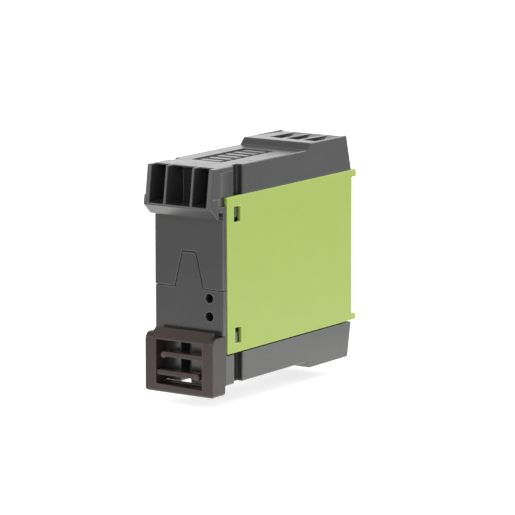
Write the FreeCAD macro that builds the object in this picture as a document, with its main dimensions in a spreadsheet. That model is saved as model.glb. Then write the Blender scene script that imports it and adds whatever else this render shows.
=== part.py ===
# Timer relay for a 35 mm mounting rail, 22.5 mm wide.
#
# Lengths are in millimetres. The origin lies on the rear face where the rail seats, on the
# centre line of the rail. +X runs across the width, +Y from the rail to the front with its
# adjusters, and +Z up. Y = 0 is the plane of the rail's flanges.
import os
import re

import FreeCAD
import Part
import Sketcher

doc = FreeCAD.newDocument("TimerRelay")
sheet = doc.addObject("Spreadsheet::Sheet", "Sizes")

SIZES = (
    # Mounting rail
    ("rail_height", 35.0, "height of the mounting rail over both flanges"),
    ("rail_play", 0.1, "gap between a rail edge and the part that takes it"),
    ("flange_slot", 1.7, "depth of the slot that takes a rail flange"),
    # Dark body
    ("body_width", 22.0, "width of the dark housing"),
    ("hook_height", 11.95, "height of the housing above the rail, and as much below it"),
    ("body_depth", 63.0, "depth from the rail face to the front of the housing"),
    ("outer_wall", 1.6, "thickness of the top and bottom walls"),
    ("rear_wall", 2.0, "thickness of the wall behind the rail"),
    ("side_wall", 1.2, "thickness of the side walls under the cover"),
    ("parting_drop", 3.6, "height of the parting line below the rail's centre line"),
    ("parting_gap", 0.12, "gap that shows as a line between the two housing halves"),
    ("tongue_foot", 9.3, "width of the rear tongue at the parting line"),
    ("tongue_top", 4.5, "width of the rear tongue at its top"),
    ("tongue_rise", 9.8, "height of the rear tongue"),
    ("test_hole", 2.5, "diameter of the two holes in the rear wall"),
    ("test_hole_edge", 4.33, "distance of the two holes from the side of the housing"),
    ("test_hole_drop", 2.35, "drop from the parting line to the first hole"),
    ("test_hole_pitch", 4.95, "distance between the two holes"),
    # Fixed rail hook
    ("hook_reach_low", 5.31, "how far the hook stands behind the rail face at its foot"),
    ("hook_reach_top", 3.84, "how far the hook stands behind the rail face at the top"),
    ("hook_heel", 1.2, "height of the hook's rear corner above the rail edge"),
    ("lip_drop", 1.6, "how far the lip hangs below the rail edge"),
    ("lip_tip", 0.55, "flat width of the lip's end"),
    ("hook_relief", 0.3, "depth of the relief behind the lip, and how far it runs below it"),
    ("hook_inset", 0.35, "how far the hook's sides stand in from the housing sides"),
    ("hook_floor", 1.65, "thickness of the hook under its pockets"),
    ("hook_side", 1.4, "thickness of the hook's outer walls"),
    ("hook_divider", 0.75, "thickness of the hook's inner walls"),
    ("middle_pocket", 7.8, "width of the middle pocket"),
    ("pocket_depth", 3.0, "how far the pockets reach in front of the rail face"),
    ("pocket_notch", 1.2, "distance from the rail face to the top plate's rear edge"),
    ("plate_edge", 0.35, "thickness of the top plate's rear edge over the pockets"),
    ("dish_radius", 15.6, "radius of the shallow hollow in each side of the hook"),
    ("dish_depth", 0.3, "depth of the hollow"),
    ("dish_place", 2.35, "distance from the rail face to the middle of the hollow"),
    ("dish_rise", 1.6, "height of the hollow's foot above the rail edge"),
    ("dish_drop", 1.4, "drop from the top of the housing to the hollow's upper end"),
    ("corner_line", 0.14, "width of the fine upright lines beside the rear face"),
    ("corner_line_depth", 0.2, "depth of the upright lines"),
    # Grooves and snap hooks in the sides
    ("groove_rear", 5.4, "distance from the rail face to a side groove"),
    ("groove_front", 9.3, "distance from the rail face to a side groove's front wall"),
    ("groove_depth", 1.8, "depth of a side groove"),
    ("groove_lip", 1.0, "how far the lip at the groove's rear wall reaches forward"),
    ("snap_stand", 0.1, "how far a snap hook stays behind the face of the cover"),
    ("snap_height", 2.9, "height of a snap hook"),
    ("snap_ramp", 0.9, "how far a snap hook slopes inwards"),
    # Recess with ribs on the top
    ("recess_width", 10.1, "width of the recess on the top"),
    ("recess_side", 0.55, "how far the recess lies off the middle"),
    ("recess_rear", 9.0, "distance from the rail face to the recess"),
    ("recess_length", 25.3, "length of the recess"),
    ("recess_depth", 0.5, "depth of the recess"),
    ("rib_width", 2.1, "width of a raised bar in the recess"),
    ("rib_margin", 1.7, "space between the bars and the edge of the recess"),
    ("rib_height", 0.38, "height of a raised bar"),
    # Terminal blocks
    ("block_length", 22.6, "length of a terminal block from its ramp to the front"),
    ("block_rise", 1.8, "how far a terminal block stands above the housing"),
    ("ramp_run", 1.7, "length of the ramp behind a terminal block"),
    ("nose_run", 2.5, "how far the sloped front of the upper block runs back"),
    ("lower_nose_run", 1.8, "how far the sloped front of the lower block runs back"),
    ("block_fall", 0.3, "how far a block's face falls towards the front"),
    ("block_lip", 0.7, "width of the low lips along a block's sides"),
    ("block_lip_start", 4.1, "distance from a block's ramp foot to its side lips"),
    ("block_floor", 1.3, "thickness of the wall under a terminal block"),
    ("terminal_edge", 0.65, "distance of the last terminal's place from the side"),
    ("funnel_rib", 1.0, "thickness of the ribs between the funnels over the wire entries"),
    ("funnel_lead", 0.6, "distance from a funnel's rear edge to its wire entry"),
    ("funnel_front", 3.2, "distance from the funnels to the front of the housing"),
    ("funnel_depth", 2.1, "depth of a funnel over the wire entry"),
    ("funnel_step", 0.45, "how far a funnel is wider than its wire entry on each side"),
    ("wire_length", 3.1, "length of a wire entry"),
    ("screw_drop", 4.35, "drop from the top of the housing to the terminal screws"),
    ("chamber_wall", 0.9, "thickness of the walls between the clamp chambers"),
    ("chamber_front", 9.0, "distance from a clamp chamber to the front of the housing"),
    ("chamber_length", 8.0, "length of a clamp chamber"),
    ("shelf", 0.9, "wall between a clamp chamber and its screw's access hole"),
    ("access_hole", 4.2, "diameter of a screwdriver hole"),
    # Clamp cage
    ("cage_length", 5.8, "length of a clamp cage along its screw"),
    ("cage_height", 5.0, "height of a clamp cage"),
    ("cage_play", 0.1, "gap between a clamp cage and its chamber"),
    ("cage_side", 0.6, "thickness of a cage's side walls"),
    ("cage_nut", 1.2, "thickness of a cage's threaded wall"),
    ("cage_back", 0.8, "thickness of the wall that presses on the wire"),
    ("cage_rest", 0.2, "gap behind an open cage"),
    # Terminal screw
    ("shank", 2.5, "diameter of a terminal screw's shank"),
    ("shank_play", 0.05, "gap round a screw's shank in its cage"),
    ("screw_head", 3.9, "diameter of a screw head"),
    ("screw_head_height", 2.2, "height of a screw head"),
    ("screw_slot", 0.7, "width of the slot in a screw head"),
    ("screw_slot_depth", 1.0, "depth of the slot in a screw head"),
    # Busbars
    ("bar_play", 0.4, "gap beside a busbar in its cage and beside the main board"),
    ("bar_thick", 0.7, "thickness of a busbar"),
    ("bar_run", 1.6, "height of a busbar's run to the board"),
    ("bar_step", 2.4, "height from one busbar's run to the next"),
    # Cover
    ("cover_proud", 0.25, "how far the cover stands out of each side, 22.5 wide over it"),
    ("cover_drop", 8.1, "drop from the top of the housing to the cover"),
    ("cover_rear", 1.85, "distance from the rail face to the cover"),
    ("plate_thick", 1.1, "thickness of the cover's side plates"),
    ("panel_thick", 1.4, "thickness of the cover's front panel"),
    ("cover_gap", 0.05, "gap between the cover and the housing"),
    ("brow_depth", 2.1, "how far the two bars stand out at the front"),
    ("brow_height", 2.05, "height of the two bars at the front"),
    ("slot_length", 3.0, "length of a snap slot"),
    ("slot_height", 4.15, "height of a snap slot"),
    ("slot_rear", 5.1, "distance from the rail face to the upper snap slots"),
    ("lower_slot_rear", 5.5, "distance from the rail face to the lower snap slots"),
    ("slot_edge", 2.85, "distance from the cover's edge to a snap slot"),
    # Rail latch
    ("latch_reach", 4.73, "how far the latch stands behind the rail face"),
    ("cheek_rise", 1.5, "height of the latch's cheeks above the rail's lower edge"),
    ("latch_hang", 2.65, "how far the latch hangs below the housing"),
    ("latch_foot", 2.2, "height of the latch's bottom member"),
    ("latch_side", 3.5, "width of the latch's side members"),
    ("latch_cheek", 1.6, "thickness of the cheeks that grip the housing"),
    ("latch_wrap", 1.2, "how far the cheeks reach round the housing"),
    ("latch_play", 0.1, "gap between the latch and the housing"),
    ("nose_heel", 0.3, "height of the latch nose at its outer face"),
    ("nose_rise", 2.9, "how far the latch nose stands up behind the rail"),
    ("guide_flare", 0.7, "how far the latch guides narrow towards the front"),
    ("latch_corner", 2.0, "radius at the top of the cheeks"),
    ("foot_corner", 1.0, "radius at the foot of the latch"),
    ("foot_ridge", 0.62, "height of the ridge along the inside of the bottom member"),
    ("foot_ridge_thick", 0.9, "thickness of the ridge"),
    # Latch springs and what they bear on
    ("arm_thick", 1.4, "thickness of a spring arm"),
    ("arm_depth", 3.0, "width of a spring arm along the depth"),
    ("arm_inset", 0.2, "how far a spring arm lies inside the latch's outer face"),
    ("upper_arm_gap", 1.35, "gap between the upper arm's end and the side member"),
    ("lower_arm_gap", 1.05, "gap between the lower arm's end and the side member"),
    ("arm_knob", 1.8, "diameter of the knob at a spring arm's free end"),
    ("arm_pin", 1.0, "diameter of the pin on the knob"),
    ("arm_pin_reach", 1.1, "how far the pin reaches into the housing"),
    ("pin_play", 0.1, "gap under the pin and at its end"),
    ("pin_slot", 2.0, "length of the slot that takes the pin"),
    ("upper_arm_drop", 3.25, "drop from the top of the latch's window to the upper arm"),
    ("lower_arm_rise", 3.95, "height of the lower arm's top above the foot of the window"),
    ("channel_width", 3.1, "width of the channel behind the latch"),
    ("channel_side", 1.05, "how far the channel lies off the middle"),
    ("channel_depth", 4.3, "depth of the channel behind the latch"),
    ("channel_rise", 0.5, "height of the channel's top above the rail's lower edge"),
    # Boards
    ("board_thick", 1.6, "thickness of the circuit boards"),
    ("board_groove", 0.6, "depth of the grooves that hold the main board"),
    ("board_play", 0.1, "gap round the boards"),
    ("board_rear", 11.0, "distance from the rail face to the main board"),
    ("front_board_gap", 1.3, "gap between the busbars and the front board"),
    # Adjusters and lights
    ("dial_foot", 3.35, "margin under the three adjusters on the front"),
    ("dial_head", 6.35, "margin for the lights above the three adjusters"),
    ("knob_width", 6.6, "diameter of an adjuster"),
    ("knob_hole", 7.1, "diameter of an adjuster's hole in the panel"),
    ("knob_proud", 0.8, "how far an adjuster stands out of the panel"),
    ("knob_spindle", 2.9, "diameter of an adjuster's spindle"),
    ("spindle_play", 0.05, "gap round an adjuster's spindle"),
    ("spindle_length", 2.6, "how far a spindle reaches into its part"),
    ("pot_space", 3.0, "space between the potentiometer and the rotary switches"),
    ("pot_depth", 4.4, "depth of a potentiometer or rotary switch"),
    ("pipe_width", 3.0, "diameter of a light pipe"),
    ("pipe_drop", 4.15, "drop from the top of the cover to the light pipes"),
    ("pipe_edge", 4.1, "distance of the light pipes from the side walls"),
    ("pipe_proud", 0.3, "how far a light pipe stands out of the panel"),
    ("pipe_flange", 4.2, "diameter of a light pipe's flange"),
    ("pipe_flange_thick", 0.9, "thickness of a light pipe's flange"),
    ("chip_size", 1.6, "width of a light's chip"),
    ("chip_height", 0.8, "height of a light's chip"),
    # Parts on the main board
    ("relay_length", 20.0, "length of the output relay"),
    ("relay_width", 10.0, "width of the output relay"),
    ("relay_room", 3.3, "gap between the output relay and the far side wall"),
    ("relay_set", 12.0, "distance from the output relay to the front board"),
    ("film_length", 13.0, "length of the dropper capacitor"),
    ("film_width", 6.0, "width of the dropper capacitor"),
    ("film_room", 2.9, "gap between the dropper capacitor and the far side wall"),
    ("film_lift", 3.85, "height of the dropper capacitor's foot above the bottom wall"),
    ("can_width", 8.0, "diameter of the smoothing capacitor"),
    ("can_room", 2.4, "gap between the smoothing capacitor and the far side wall"),
    ("can_drop", 12.65, "drop from the top wall to the smoothing capacitor's axis"),
    ("disc_width", 8.0, "diameter of the surge suppressor"),
    ("disc_thick", 3.5, "thickness of the surge suppressor"),
    ("disc_lift", 8.0, "height of the surge suppressor's axis above the capacitor's foot"),
    ("part_gap", 1.0, "gap between parts on the main board"),
    ("chip_length", 10.0, "length of the timer chip"),
    ("chip_width", 4.0, "width of the timer chip"),
    ("chip_thick", 1.7, "thickness of the timer chip"),
    ("chip_set", 4.0, "distance from the timer chip to the front board"),
    ("bridge_width", 4.7, "width of the bridge rectifier"),
    ("bridge_height", 2.4, "height of the bridge rectifier"),
    ("bridge_drop", 2.35, "drop from the rail's centre line to the bridge rectifier"),
)


def write_sizes():
    """Put each size, its name and its meaning on one row of the sheet."""
    for row, (alias, size, meaning) in enumerate(SIZES, start=1):
        sheet.set("A%d" % row, alias)
        sheet.set("B%d" % row, str(size))
        sheet.set("C%d" % row, meaning)
        sheet.setAlias("B%d" % row, alias)
    doc.recompute()


def bind(formula):
    """The same formula with every size looked up on the sheet."""
    return re.sub(r"\b([a-z]+(?:_[a-z]+)*)\b(?!\()", r"Sizes.\1", formula)


def value(formula):
    """The length that a formula of sizes gives."""
    return float(sheet.evalExpression(formula))


# Formulas that several pieces share. The main faces of the housing:
HALF = "body_width / 2"
RAIL_EDGE = "rail_height / 2"
TOP = "(rail_height / 2 + hook_height)"
PARTING = "-parting_drop"
SLOT_END = "(rail_height / 2 + rail_play)"
BLOCK = "(body_depth - block_length)"
BLOCK_TOP = "(rail_height / 2 + hook_height + block_rise)"

# The cover, and the side walls' faces that it lies on
COVER_TOP = "(rail_height / 2 + hook_height - cover_drop)"
PLATE_OUT = "(body_width / 2 + cover_proud)"
PLATE_IN = "(body_width / 2 + cover_proud - plate_thick)"
SEAT_IN = "(body_width / 2 + cover_proud - plate_thick - cover_gap)"
PANEL_IN = "(body_depth - panel_thick)"

# The room inside
CAVITY_HALF = "(body_width / 2 + cover_proud - plate_thick - cover_gap - side_wall)"
CAVITY_TOP = "(rail_height / 2 + hook_height - outer_wall)"
CAVITY_FLOOR = "(rail_height / 2 + hook_height - cover_drop + cover_gap * 2 - block_floor)"
NARROW_HALF = "(body_width / 2 - groove_depth - side_wall)"
NARROW_END = "(groove_front + side_wall)"

# The terminals: four equal places across the body, the first of them left blank
PITCH = "(body_width / 4)"
SCREW = "(rail_height / 2 + hook_height - screw_drop)"
BLOCK_WALL = "(body_depth - chamber_front - chamber_length - outer_wall)"
CHAMBER_END = "(body_depth - chamber_front)"
CHAMBER = "(body_depth - chamber_front - chamber_length)"
CHAMBER_WIDTH = "(body_width / 4 - chamber_wall)"
CAGE_WIDTH = "(body_width / 4 - chamber_wall - cage_play * 2)"
CAGE = "(body_depth - chamber_front - chamber_length + cage_rest)"
CAGE_NUT = "(body_depth - chamber_front - chamber_length + cage_rest + cage_length - cage_nut)"
HEAD = "(body_depth - chamber_front + shelf + shank_play)"
BAR_WIDTH = "(body_width / 4 - chamber_wall - cage_play * 2 - cage_side * 2 - bar_play * 2)"
BAR_FRONT = CAGE_NUT + " - cage_play"

# The boards and what stands on the front one. The main board's parts face lies beside the
# first terminal's busbar.
BOARD_FACE = "(-terminal_edge - %s / 2 - %s / 2 - bar_play)" % (PITCH, BAR_WIDTH)
BOARD_BACK = "(%s - board_thick)" % BOARD_FACE
FRONT_BOARD_BACK = "(%s + front_board_gap)" % BAR_FRONT
FRONT_BOARD = "(%s + front_board_gap + board_thick)" % BAR_FRONT
POT_FACE = "(%s + front_board_gap + board_thick + pot_depth)" % BAR_FRONT
KNOB_PITCH = "((%s * 2 - dial_foot - dial_head) / 3)" % COVER_TOP
KNOB_HEIGHTS = ["(%s - dial_head - %s * %.1f)" % (COVER_TOP, KNOB_PITCH, number + 0.5)
                for number in range(3)]
POT_WIDTH = "(%s - pot_space)" % KNOB_PITCH
PIPE_HEIGHT = "(%s - pipe_drop)" % COVER_TOP
PIPE_SIDE = "(%s - pipe_edge)" % CAVITY_HALF

# The latch and its springs, as drops below the rail's centre line
CHEEK_TOP = "(rail_height / 2 - cheek_rise)"
LATCH_FOOT = "(rail_height / 2 + hook_height + latch_hang)"
WINDOW_FOOT = "(rail_height / 2 + hook_height + latch_hang - latch_foot)"
WINDOW_HALF = "(body_width / 2 - latch_side)"
UPPER_ARM = "(%s + upper_arm_drop)" % SLOT_END
LOWER_ARM = "(%s - lower_arm_rise)" % WINDOW_FOOT

# How far a cut runs past the face it starts from
PAST = "1"

PLANES = {"XY": ("XY_Plane", 1), "YZ": ("YZ_Plane", 1), "XZ": ("XZ_Plane", -1)}
SIDES = ("upper", "lower")


def minus(formula):
    return "-(%s)" % formula


def rect(left, right, low, high):
    """A rectangle as a list of its four corners."""
    return [(left, low), (right, low), (right, high), (left, high)]


def circle(across, up, diameter):
    return ("circle", across, up, diameter)


def mirrored(corners):
    """The same outline on the other side of the middle."""
    return [(minus(across), along) for across, along in corners]


def on_side(side, corners):
    """An outline whose second coordinate is a height, turned over on the lower side."""
    if side == "upper":
        return corners
    return [(along, minus(height)) for along, height in corners]


def heights(side, low, high):
    """A pair of heights, turned over on the lower side."""
    if side == "upper":
        return low, high
    return minus(high), minus(low)


def new_body(label):
    body = doc.addObject("PartDesign::Body", label)
    body.Label = label
    return body


def tie(item, across, up, at, point):
    """Tie a sketch point to the formulas of its two coordinates."""
    for kind, formula in (("DistanceX", across), ("DistanceY", up)):
        number = item.addConstraint(
            Sketcher.Constraint(kind, -1, 1, at, point, value(formula)))
        item.setExpression("Constraints[%d]" % number, bind(formula))


def draw_circle(item, across, up, diameter):
    centre = FreeCAD.Vector(value(across), value(up), 0)
    at = item.addGeometry(
        Part.Circle(centre, FreeCAD.Vector(0, 0, 1), value(diameter) / 2), False)
    tie(item, across, up, at, 3)
    number = item.addConstraint(Sketcher.Constraint("Diameter", at, value(diameter)))
    item.setExpression("Constraints[%d]" % number, bind(diameter))


def draw_corners(item, corners):
    """Straight edges through the corners, closed at the end."""
    points = [FreeCAD.Vector(value(across), value(up), 0) for across, up in corners]
    lines = [item.addGeometry(Part.LineSegment(start, end), False)
             for start, end in zip(points, points[1:] + points[:1])]
    for line, following in zip(lines, lines[1:] + lines[:1]):
        item.addConstraint(Sketcher.Constraint("Coincident", line, 2, following, 1))
    for line, (across, up) in zip(lines, corners):
        tie(item, across, up, line, 1)


def sketch(body, name, plane, place, outlines):
    """A sketch on one of the body's own planes, moved along the plane's normal."""
    role, way = PLANES[plane]
    item = body.newObject("Sketcher::SketchObject", name + "_sketch")
    support = next(f for f in body.Origin.OriginFeatures if f.Role == role)
    item.AttachmentSupport = [(support, "")]
    item.MapMode = "FlatFace"
    item.setExpression("AttachmentOffset.Base.z", bind("(%s) * %d" % (place, way)))
    for outline in outlines:
        if outline[0] == "circle":
            draw_circle(item, *outline[1:])
        else:
            draw_corners(item, outline)
    return item


def pad(body, name, plane, outlines, low, high):
    """Add the outlines between two places on the axis across the plane."""
    start = high if plane == "XZ" else low
    profile = sketch(body, name, plane, start, outlines)
    item = body.newObject("PartDesign::Pad", name)
    item.Profile = profile
    item.setExpression("Length", bind("(%s) - (%s)" % (high, low)))
    return item


def pocket(body, name, plane, outlines, low, high):
    """Cut the outlines away between two places on the axis across the plane."""
    start = low if plane == "XZ" else high
    profile = sketch(body, name, plane, start, outlines)
    item = body.newObject("PartDesign::Pocket", name)
    item.Profile = profile
    item.setExpression("Length", bind("(%s) - (%s)" % (high, low)))
    return item


def both_sides(cut_or_add, body, name, plane, outlines, low, high):
    """The same feature on the right and, turned over, on the left."""
    cut_or_add(body, name + "_right", plane, outlines, low, high)
    cut_or_add(body, name + "_left", plane, outlines, minus(high), minus(low))


def dress(body, kind, name, size, wanted):
    """Round or bevel the edges of the body for which wanted is true."""
    doc.recompute()
    tip = body.Tip
    edges = ["Edge%d" % number for number, edge in enumerate(tip.Shape.Edges, start=1)
             if wanted(edge)]
    item = body.newObject("PartDesign::" + kind, name)
    item.Base = (tip, edges)
    item.setExpression("Radius" if kind == "Fillet" else "Size", bind(size))
    return item


def lies_at(**places):
    """A test for edges that run at given places, each a coordinate and its formulas."""
    wanted = {axis: [value(f) for f in formulas] for axis, formulas in places.items()}

    def test(edge):
        return all(any(abs(getattr(vertex, axis.upper()) - place) < 0.01
                       for place in choices)
                   for vertex in edge.Vertexes for axis, choices in wanted.items())
    return test


def box(label, across, deep, tall):
    """A block between pairs of places along X, Y and Z."""
    item = doc.addObject("Part::Box", label)
    item.Label = label
    for size, axis, (low, high) in zip(("Length", "Width", "Height"), "xyz",
                                       (across, deep, tall)):
        item.setExpression(size, bind("(%s) - (%s)" % (high, low)))
        item.setExpression("Placement.Base." + axis, bind(low))
    return item


def terminal_place(number):
    """Distance of terminal 1, 2 or 3 from the middle of the body."""
    return "(body_width / 2 - terminal_edge - %s * %.1f)" % (PITCH, 3.5 - number)


# Features that the two housing halves share

def cut_cover_seat(body, low, high):
    """Let the cover's plates into the sides."""
    both_sides(pocket, body, "cover_seat", "YZ",
               [rect("cover_rear - cover_gap", "body_depth + " + PAST, low, high)],
               SEAT_IN, HALF + " + " + PAST)


def cut_groove(body, low, high):
    """The upright groove behind the snap slots, with the lip at its rear wall."""
    floor = "body_width / 2 - groove_depth"
    inset = "body_width / 2 - hook_inset"
    outer = HALF + " + " + PAST
    plan = [(floor, "groove_rear - groove_lip / 2"),
            (floor + " + groove_lip / 2", "groove_rear + groove_lip"),
            (inset, "groove_rear"),
            (outer, "groove_rear"),
            (outer, "groove_front"),
            (floor, "groove_front")]
    pocket(body, "side_groove", "XY", [plan, mirrored(plan)], low, high)


def add_snap_hook(body, side, rear):
    """Hooks in the snap slots, sloped so that the cover slides over them."""
    floor = "body_width / 2 - groove_depth - cover_gap"
    face = PLATE_OUT + " - snap_stand"
    far = rear + " + slot_length - cover_gap"
    plan = [(floor, rear + " + cover_gap"),
            (face, rear + " + cover_gap"),
            (face, rear + " + slot_length / 3"),
            (face + " - snap_ramp", far),
            (floor, far)]
    top = COVER_TOP + " - slot_edge - cover_gap"
    low, high = heights(side, top + " - snap_height", top)
    pad(body, "snap_hook", "XY", [plan, mirrored(plan)], low, high)


def cut_cavity(body, side, parting):
    """The room for the boards: narrow behind the grooves, wide, and low at the front."""
    hook_room = "(rail_height / 2 - outer_wall)"
    deepest = "pocket_depth" if side == "upper" else "channel_depth"
    rear_room = "(%s + outer_wall)" % deepest
    narrow = [("rear_wall", parting), ("rear_wall", hook_room), (rear_room, hook_room),
              (rear_room, CAVITY_TOP), (NARROW_END, CAVITY_TOP), (NARROW_END, parting)]
    pocket(body, "rear_cavity", "YZ", [on_side(side, narrow)],
           minus(NARROW_HALF), NARROW_HALF)
    wide = [(NARROW_END, parting), (NARROW_END, CAVITY_TOP), (BLOCK_WALL, CAVITY_TOP),
            (BLOCK_WALL, CAVITY_FLOOR), ("body_depth", CAVITY_FLOOR), ("body_depth", parting)]
    pocket(body, "main_cavity", "YZ", [on_side(side, wide)],
           minus(CAVITY_HALF), CAVITY_HALF)


def cut_board_groove(body, side):
    """The groove in the outer wall that holds the main board's edge."""
    low, high = heights(side, CAVITY_TOP + " - " + PAST, CAVITY_TOP + " + board_groove")
    pocket(body, "board_groove", "XY",
           [rect(BOARD_BACK + " - board_play / 2", BOARD_FACE + " + board_play / 2",
                 "board_rear", BLOCK_WALL)], low, high)


def shape_block(body, side):
    """Funnels, wire entries, clamp chambers and screw holes of one terminal block."""
    wire = CAGE + " + cage_back"
    deep = BLOCK_TOP + " - funnel_depth"
    over = BLOCK_TOP + " + " + PAST
    start = wire + " - funnel_lead"
    end = "body_depth - funnel_front"
    funnel = on_side(side, [
        (start, over), (start, deep), (wire + " + wire_length", deep),
        (end, BLOCK_TOP + " - block_fall"), (end, over)])
    funnel_half = "(%s - funnel_rib) / 2" % PITCH
    wire_half = "(%s - funnel_step)" % funnel_half
    for number in (1, 2, 3):
        at = terminal_place(number)
        pocket(body, "funnel_%d" % number, "YZ", [funnel],
               "%s - %s" % (at, funnel_half), "%s + %s" % (at, funnel_half))
        low, high = heights(side, CAVITY_FLOOR + " - " + PAST,
                            SCREW + " + cage_height / 2 + cage_play")
        pocket(body, "clamp_chamber_%d" % number, "XY",
               [rect("%s - %s / 2" % (at, CHAMBER_WIDTH), "%s + %s / 2" % (at, CHAMBER_WIDTH),
                     CHAMBER, CHAMBER_END)], low, high)
        low, high = heights(side, SCREW, over)
        pocket(body, "wire_entry_%d" % number, "XY",
               [rect("%s - %s" % (at, wire_half), "%s + %s" % (at, wire_half),
                     wire, wire + " + wire_length")], low, high)
    screws = [(terminal_place(number), heights(side, SCREW, SCREW)[0])
              for number in (1, 2, 3)]
    pocket(body, "shank_holes", "XZ",
           [circle(at, up, "shank + shank_play * 4") for at, up in screws],
           CHAMBER_END + " - cage_play", CHAMBER_END + " + shelf + " + PAST)
    pocket(body, "access_holes", "XZ", [circle(at, up, "access_hole") for at, up in screws],
           CHAMBER_END + " + shelf", "body_depth + " + PAST)


def slope_block_top(body, side, nose):
    """Let the block's face fall towards the front between two low side lips."""
    front = "body_depth - " + nose
    wedge = on_side(side, [
        (BLOCK + " + block_lip_start", BLOCK_TOP),
        (BLOCK + " + block_lip_start", BLOCK_TOP + " + " + PAST),
        ("body_depth", BLOCK_TOP + " + " + PAST),
        ("body_depth", BLOCK_TOP + " - block_fall"),
        (front, BLOCK_TOP + " - block_fall")])
    lip = HALF + " - block_lip"
    pocket(body, "block_face", "YZ", [wedge], minus(lip), lip)


def build_upper_housing():
    """The upper half with the fixed rail hook and the upper terminal block."""
    body = new_body("upper_housing")
    heel = RAIL_EDGE + " + hook_heel"
    lip_end = RAIL_EDGE + " - lip_drop"
    front = COVER_TOP + " + cover_gap * 2"
    parting = PARTING + " + parting_gap / 2"
    pad(body, "upper_block", "YZ", [[
        ("0", parting),
        ("0", lip_end + " - hook_relief"),
        ("hook_relief", lip_end + " - hook_relief"),
        ("hook_relief", SLOT_END),
        ("-flange_slot", SLOT_END),
        ("-flange_slot", lip_end),
        ("-flange_slot - lip_tip", lip_end),
        ("-hook_reach_low", heel),
        ("-hook_reach_top", TOP),
        (BLOCK, TOP),
        (BLOCK + " + ramp_run", BLOCK_TOP),
        ("body_depth - nose_run", BLOCK_TOP),
        ("body_depth", front),
        (PANEL_IN + " - cover_gap", front),
        (PANEL_IN + " - cover_gap", parting)]], minus(HALF), HALF)
    cut_cavity(body, "upper", PARTING + " - " + PAST)
    cut_cover_seat(body, PARTING + " - " + PAST, COVER_TOP + " + cover_gap")
    cut_groove(body, PARTING + " - " + PAST, TOP + " + " + PAST)
    add_snap_hook(body, "upper", "slot_rear")
    both_sides(pocket, body, "hook_side_inset", "YZ",
               [rect("-hook_reach_low - " + PAST, "groove_rear", COVER_TOP,
                     TOP + " + " + PAST)],
               HALF + " - hook_inset", HALF + " + " + PAST)
    floor = SLOT_END + " + hook_floor"
    opening = [("-hook_reach_low - " + PAST, floor), ("pocket_depth", floor),
               ("pocket_depth", CAVITY_TOP), ("-pocket_notch", TOP + " - plate_edge"),
               ("-pocket_notch", TOP + " + " + PAST),
               ("-hook_reach_low - " + PAST, TOP + " + " + PAST)]
    pocket(body, "middle_pocket_cut", "YZ", [opening],
           "-middle_pocket / 2", "middle_pocket / 2")
    both_sides(pocket, body, "side_pocket_cut", "YZ", [opening],
               "middle_pocket / 2 + hook_divider", HALF + " - hook_inset - hook_side")
    hollow = HALF + " - hook_inset - dish_depth + dish_radius"
    pocket(body, "hook_hollows", "XY",
           [circle(hollow, "dish_place", "dish_radius * 2"),
            circle(minus(hollow), "dish_place", "dish_radius * 2")],
           RAIL_EDGE + " + dish_rise", TOP + " - dish_drop")
    line = HALF + " - hook_inset"
    upright = rect(line, line + " + corner_line", parting + " - " + PAST,
                   lip_end + " - hook_relief")
    pocket(body, "corner_lines", "XZ", [upright, mirrored(upright)], minus(PAST),
           "corner_line_depth")
    tongue = [("-tongue_foot / 2", PARTING), ("-tongue_top / 2", PARTING + " + tongue_rise"),
              ("tongue_top / 2", PARTING + " + tongue_rise"), ("tongue_foot / 2", PARTING),
              ("tongue_foot / 2", PARTING + " - " + PAST),
              ("-tongue_foot / 2", PARTING + " - " + PAST)]
    pocket(body, "tongue_notch", "XZ", [tongue], minus(PAST), "rear_wall + " + PAST)
    cut_board_groove(body, "upper")
    shape_block(body, "upper")
    slope_block_top(body, "upper", "nose_run")
    left = "recess_side * -1 - recess_width / 2"
    right = "recess_side * -1 + recess_width / 2"
    pocket(body, "top_recess", "XY",
           [rect(left, right, "recess_rear", "recess_rear + recess_length")],
           TOP + " - recess_depth", TOP + " + " + PAST)
    step = "(recess_length - rib_margin * 2 - rib_width) / 5"
    ribs = []
    for number in range(6):
        near = "recess_rear + rib_margin + %s * %d" % (step, number)
        ribs.append(rect(left + " + rib_margin", right + " - rib_margin",
                         near, near + " + rib_width"))
    pad(body, "raised_bars", "XY", ribs, TOP + " - recess_depth",
        TOP + " - recess_depth + rib_height")
    return body


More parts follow.
